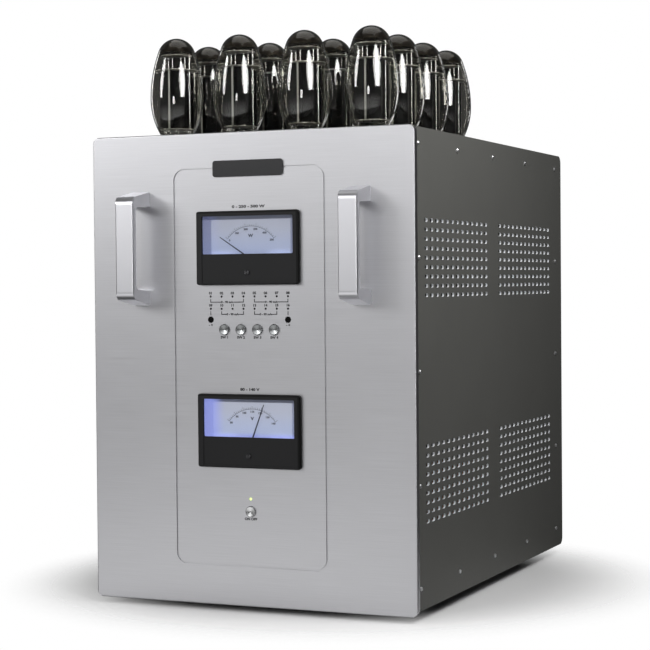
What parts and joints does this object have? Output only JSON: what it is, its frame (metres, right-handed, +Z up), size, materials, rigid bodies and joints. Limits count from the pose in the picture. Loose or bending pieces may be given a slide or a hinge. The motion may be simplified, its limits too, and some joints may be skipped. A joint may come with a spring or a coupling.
{
  "type": "tube monoblock amplifier",
  "caption": "Upright tube power amplifier: brushed front plate with handles, lit meters and buttons, slotted dark side panels, rows of egg-shaped tubes on top.",
  "frame": {"origin": "middle of the outline seen from above, on the floor under the feet", "axes": "+X to the right seen from the front, +Y toward the rear, +Z up"},
  "size_m": [0.3702, 0.5544, 0.6075],
  "materials": {
    "brushed_aluminium": "brushed, clear anodised",
    "satin_aluminium": "satin, rounded edges",
    "spun_aluminium": "turned face",
    "black_badge": "gloss, bare",
    "bezel_black": "satin moulded",
    "meter_glass": "clear pane",
    "dial_white": "printed, lit from below",
    "magnet_steel": "plain",
    "needle_dark": "painted dark",
    "screw_black": "moulded",
    "lamp_white": "lit",
    "lamp_dark": "unlit lens",
    "lamp_green": "lit",
    "switch_plastic": "moulded",
    "board_green": "epoxy glass laminate",
    "panel_grey": "satin powder coat",
    "frame_dark": "dark anodised bars",
    "sheet_dark": "satin black",
    "screw_steel": "bright",
    "foot_rubber": "matt",
    "socket_ceramic": "unglazed",
    "base_phenolic": "moulded",
    "tube_glass": "clear",
    "anode_black": "carbonised",
    "mica": "mica sheet",
    "rod_nickel": "nickel wire",
    "core_steel": "laminated",
    "coil_copper": "varnished winding",
    "can_blue": "sleeved",
    "fan_black": "moulded",
    "guard_steel": "plated wire",
    "inlet_black": "moulded",
    "socket_zinc": "nickel finish",
    "post_brass": "gold plated",
    "cap_black": "moulded",
    "cap_red": "moulded"
  },
  "bodies": {
    "case": {"faceplate": "brushed_aluminium", "badge_plate": "black_badge", "handle_left": "satin_aluminium", "handle_right": "satin_aluminium", "handle_bolts": "screw_steel", "meter_lamps": "lamp_white", "bias_lamps": "lamp_dark", "power_lamp": "lamp_green", "switch_bodies": "switch_plastic", "control_boards": "board_green", "side_panel_left": "panel_grey", "side_panel_right": "panel_grey", "side_screws": "screw_steel", "chassis_frame": "frame_dark", "top_deck": "sheet_dark", "bottom_pan": "sheet_dark", "rear_panel": "sheet_dark", "feet": "foot_rubber", "tube_sockets": "socket_ceramic", "tube_board": "board_green", "tube_bases": "base_phenolic", "tube_glass": "tube_glass", "tube_anodes": "anode_black", "tube_micas": "mica", "tube_rods": "rod_nickel", "transformer_cores": "core_steel", "transformer_coils": "coil_copper", "filter_capacitors": "can_blue", "main_board": "board_green", "driver_tubes": "tube_glass", "fan_frames": "fan_black", "fan_guards": "guard_steel", "mains_inlet": "inlet_black", "input_socket": "socket_zinc", "speaker_posts": "post_brass", "meter_case_upper": "bezel_black", "meter_window_upper": "meter_glass", "meter_dial_upper": "dial_white", "meter_movement_upper": "magnet_steel", "meter_case_lower": "bezel_black", "meter_window_lower": "meter_glass", "meter_dial_lower": "dial_white", "meter_movement_lower": "magnet_steel"},
    "needle_upper": {"needle_upper": "needle_dark"},
    "needle_lower": {"needle_lower": "needle_dark"},
    "zero_upper": {"zero_screw_upper": "screw_black"},
    "zero_lower": {"zero_screw_lower": "screw_black"},
    "button_one": {"button_1": "spun_aluminium"},
    "button_two": {"button_2": "spun_aluminium"},
    "button_three": {"button_3": "spun_aluminium"},
    "button_four": {"button_4": "spun_aluminium"},
    "button_power": {"power_button": "spun_aluminium"},
    "trim_left": {"trimmer_left": "switch_plastic"},
    "trim_right": {"trimmer_right": "switch_plastic"},
    "fan_left": {"fan_rotor_left": "fan_black"},
    "fan_right": {"fan_rotor_right": "fan_black"},
    "cap_one": {"post_cap_1": "cap_black"},
    "cap_two": {"post_cap_2": "cap_red"},
    "cap_three": {"post_cap_3": "cap_red"},
    "cap_four": {"post_cap_4": "cap_red"}
  },
  "joints": [
    {"name": "needle_upper_swing", "type": "hinge", "parent": "case", "child": "needle_upper", "pos_m": [0, -0.23875, 0.3675], "axis": [0, 1, 0], "range_deg": [0, 114], "stiffness_Nm_per_rad": 0.00002},
    {"name": "needle_lower_swing", "type": "hinge", "parent": "case", "child": "needle_lower", "pos_m": [0, -0.23875, 0.1778], "axis": [0, 1, 0], "range_deg": [-77.5, 36.5], "stiffness_Nm_per_rad": 0.00002},
    {"name": "zero_upper_turn", "type": "hinge", "parent": "case", "child": "zero_upper", "pos_m": [0, -0.24475, 0.353], "axis": [0, 1, 0], "range_deg": [-90, 90]},
    {"name": "zero_lower_turn", "type": "hinge", "parent": "case", "child": "zero_lower", "pos_m": [0, -0.24475, 0.1633], "axis": [0, 1, 0], "range_deg": [-90, 90]},
    {"name": "button_one_press", "type": "slide", "parent": "case", "child": "button_one", "axis": [0, 1, 0], "range_m": [0, 0.0015], "stiffness_N_per_m": 900},
    {"name": "button_two_press", "type": "slide", "parent": "case", "child": "button_two", "axis": [0, 1, 0], "range_m": [0, 0.0015], "stiffness_N_per_m": 900},
    {"name": "button_three_press", "type": "slide", "parent": "case", "child": "button_three", "axis": [0, 1, 0], "range_m": [0, 0.0015], "stiffness_N_per_m": 900},
    {"name": "button_four_press", "type": "slide", "parent": "case", "child": "button_four", "axis": [0, 1, 0], "range_m": [0, 0.0015], "stiffness_N_per_m": 900},
    {"name": "button_power_press", "type": "slide", "parent": "case", "child": "button_power", "axis": [0, 1, 0], "range_m": [0, 0.0015], "stiffness_N_per_m": 900},
    {"name": "trim_left_turn", "type": "hinge", "parent": "case", "child": "trim_left", "pos_m": [-0.0442, -0.23875, 0.3042], "axis": [0, 1, 0], "range_deg": [-135, 135]},
    {"name": "trim_right_turn", "type": "hinge", "parent": "case", "child": "trim_right", "pos_m": [0.0442, -0.23875, 0.3042], "axis": [0, 1, 0], "range_deg": [-135, 135]},
    {"name": "fan_left_spin", "type": "hinge", "parent": "case", "child": "fan_left", "pos_m": [-0.08, 0.24325, 0.3365], "axis": [0, 1, 0], "continuous": true},
    {"name": "fan_right_spin", "type": "hinge", "parent": "case", "child": "fan_right", "pos_m": [0.08, 0.24325, 0.3365], "axis": [0, 1, 0], "continuous": true},
    {"name": "cap_one_turn", "type": "hinge", "parent": "case", "child": "cap_one", "pos_m": [0.04, 0.26575, 0.1165], "axis": [0, 1, 0], "continuous": true},
    {"name": "cap_two_turn", "type": "hinge", "parent": "case", "child": "cap_two", "pos_m": [0.07, 0.26575, 0.1165], "axis": [0, 1, 0], "continuous": true},
    {"name": "cap_three_turn", "type": "hinge", "parent": "case", "child": "cap_three", "pos_m": [0.1, 0.26575, 0.1165], "axis": [0, 1, 0], "continuous": true},
    {"name": "cap_four_turn", "type": "hinge", "parent": "case", "child": "cap_four", "pos_m": [0.13, 0.26575, 0.1165], "axis": [0, 1, 0], "continuous": true}
  ]
}
